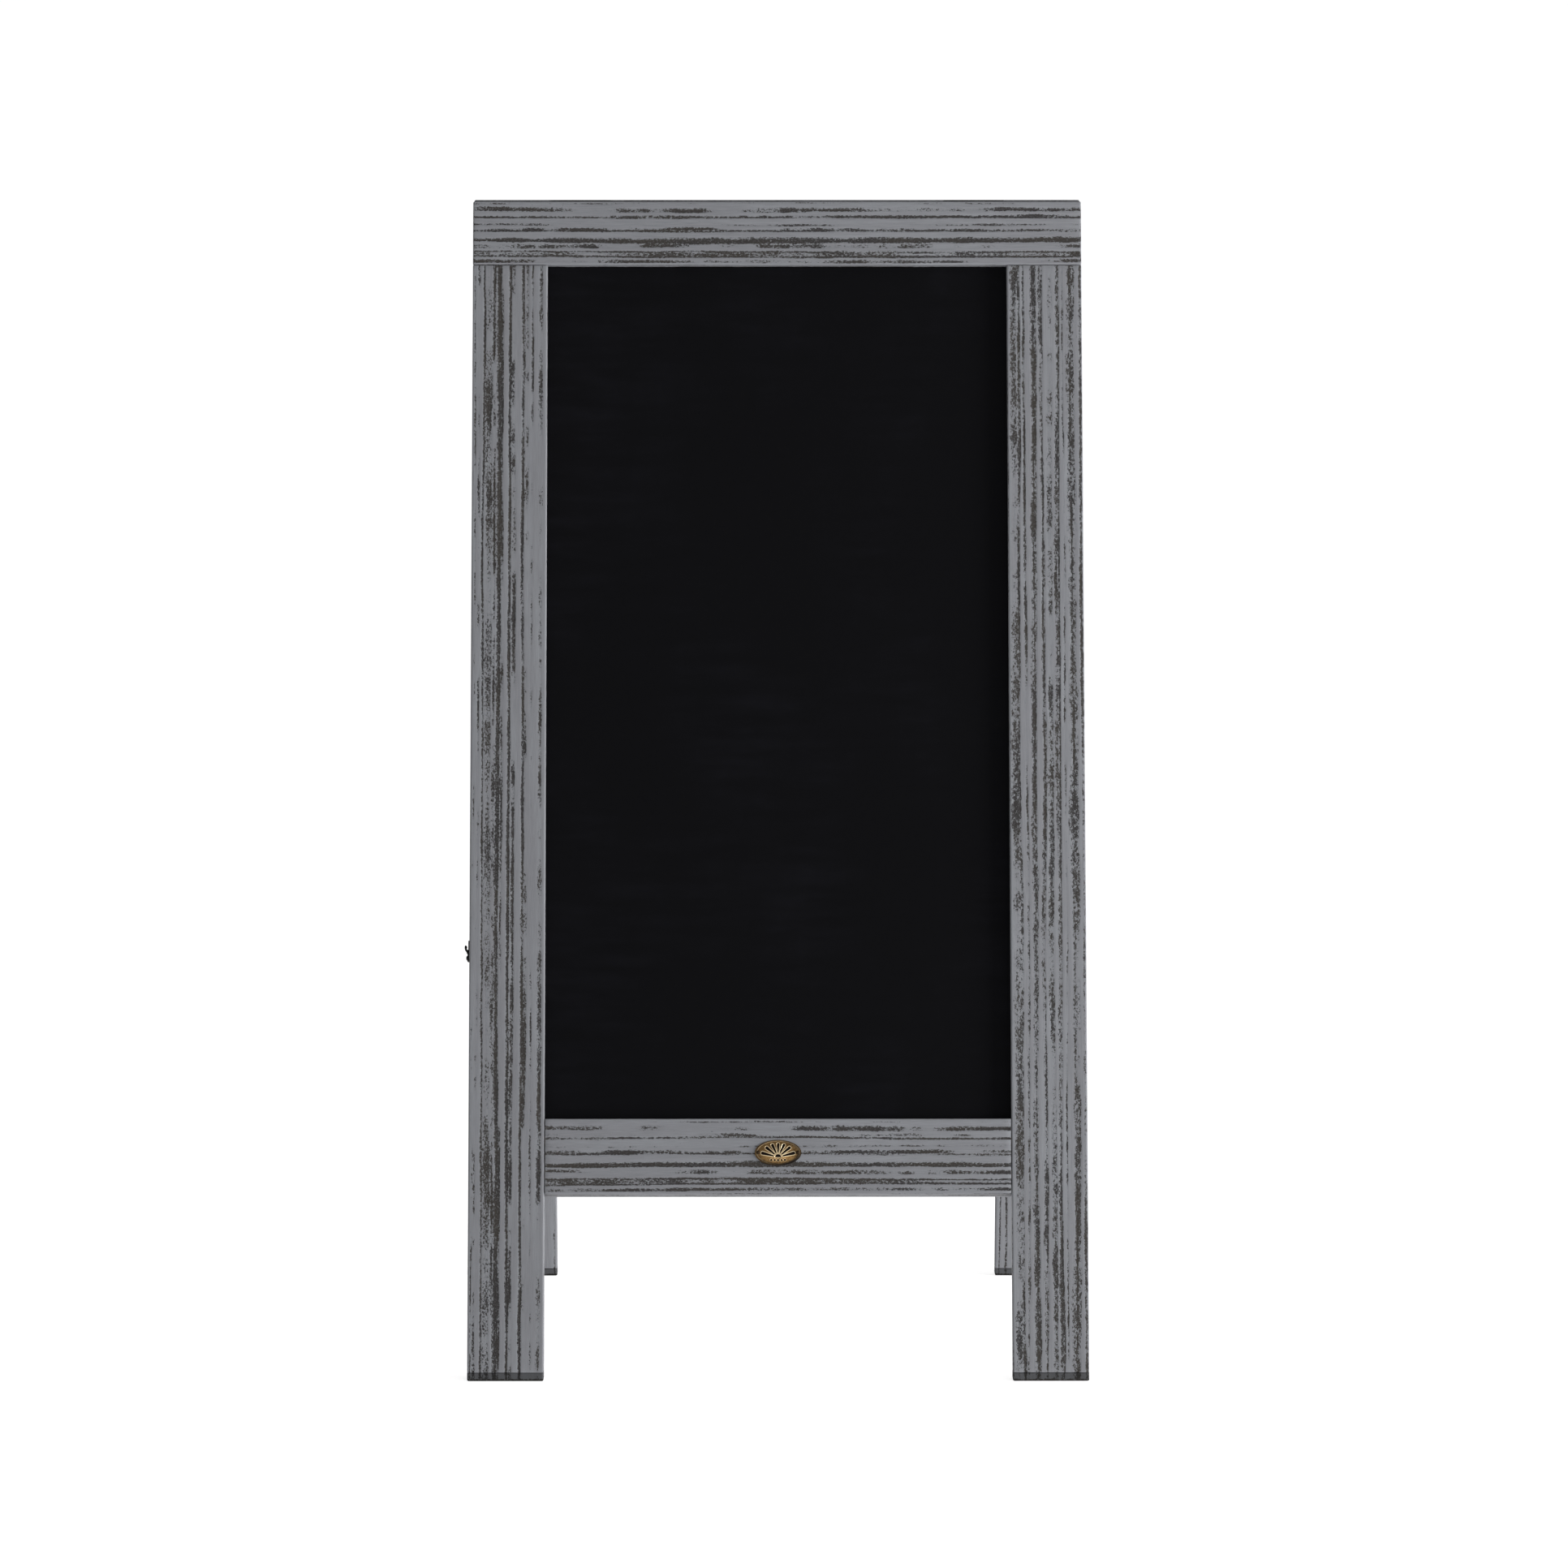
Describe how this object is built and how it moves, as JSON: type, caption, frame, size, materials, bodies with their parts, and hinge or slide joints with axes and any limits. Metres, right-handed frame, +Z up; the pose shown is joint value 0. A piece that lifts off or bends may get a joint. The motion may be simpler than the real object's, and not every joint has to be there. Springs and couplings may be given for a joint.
{
  "type": "menu chalkboard easel",
  "caption": "Folding A-frame menu chalkboard: two grey-washed timber frames with recessed black boards, ridge hinges, limit chains and a side drop latch.",
  "frame": {"origin": "on the floor, below the middle of the object's box, with the sign standing open", "axes": "+Z up; +X to the right when facing the front board; the front frame is on -Y and the rear frame on +Y; the ridge hinges run along X"},
  "size_m": [0.512, 0.6168, 0.9511],
  "materials": {
    "grey_wash_wood": "grey wash over dark open grain, satin",
    "foot_wood": "dark sealed end pads, matte",
    "dowel_wood": "raw beech, matte",
    "chalk_sheet": "matte black writing coat",
    "hardboard": "brown hardboard, matte",
    "black_metal": "black plated sheet, satin",
    "steel": "zinc plated, satin",
    "antique_brass": "antique brass with dark patina"
  },
  "bodies": {
    "front_frame": {"badge_nail_left": "antique_brass", "badge_nail_right": "antique_brass", "badge_plate": "antique_brass", "front_backer": "hardboard", "front_bottom_rail": "grey_wash_wood", "front_chain_screw_left": "steel", "front_chain_screw_right": "steel", "front_chalkboard": "chalk_sheet", "front_foot_left": "foot_wood", "front_foot_right": "foot_wood", "front_hinge_leaf_left": "black_metal", "front_hinge_leaf_right": "black_metal", "front_hinge_screw_left_1": "black_metal", "front_hinge_screw_left_2": "black_metal", "front_hinge_screw_right_1": "black_metal", "front_hinge_screw_right_2": "black_metal", "front_lower_dowel_left_1": "dowel_wood", "front_lower_dowel_left_2": "dowel_wood", "front_lower_dowel_right_1": "dowel_wood", "front_lower_dowel_right_2": "dowel_wood", "front_stile_left": "grey_wash_wood", "front_stile_right": "grey_wash_wood", "front_top_rail": "grey_wash_wood", "front_upper_dowel_left": "dowel_wood", "front_upper_dowel_right": "dowel_wood", "hinge_pin_left": "black_metal", "hinge_pin_right": "black_metal", "latch_catch": "black_metal", "latch_catch_screw_lower": "black_metal", "latch_catch_screw_upper": "black_metal", "limit_chain_left": "steel", "limit_chain_right": "steel"},
    "rear_frame": {"latch_pivot_plate": "black_metal", "latch_pivot_screw_1": "black_metal", "latch_pivot_screw_2": "black_metal", "latch_rivet": "steel", "rear_backer": "hardboard", "rear_bottom_rail": "grey_wash_wood", "rear_chain_screw_left": "steel", "rear_chain_screw_right": "steel", "rear_chalkboard": "chalk_sheet", "rear_foot_left": "foot_wood", "rear_foot_right": "foot_wood", "rear_hinge_leaf_left": "black_metal", "rear_hinge_leaf_right": "black_metal", "rear_hinge_screw_left_1": "black_metal", "rear_hinge_screw_left_2": "black_metal", "rear_hinge_screw_right_1": "black_metal", "rear_hinge_screw_right_2": "black_metal", "rear_lower_dowel_left_1": "dowel_wood", "rear_lower_dowel_left_2": "dowel_wood", "rear_lower_dowel_right_1": "dowel_wood", "rear_lower_dowel_right_2": "dowel_wood", "rear_stile_left": "grey_wash_wood", "rear_stile_right": "grey_wash_wood", "rear_top_rail": "grey_wash_wood", "rear_upper_dowel_left": "dowel_wood", "rear_upper_dowel_right": "dowel_wood"},
    "latch_arm": {"latch_arm": "black_metal"}
  },
  "joints": [
    {"name": "ridge_fold", "type": "hinge", "parent": "front_frame", "child": "rear_frame", "pos_m": [0.00205, 0, 0.94688], "axis": [-1, 0, 0], "range_deg": [0, 34], "deforming": ["limit_chain_left", "limit_chain_right"]},
    {"name": "latch_arm_swing", "type": "hinge", "parent": "rear_frame", "child": "latch_arm", "pos_m": [-0.2536, 0.19451, 0.34317], "axis": [-1, 0, 0], "range_deg": [-60, 130]}
  ]
}
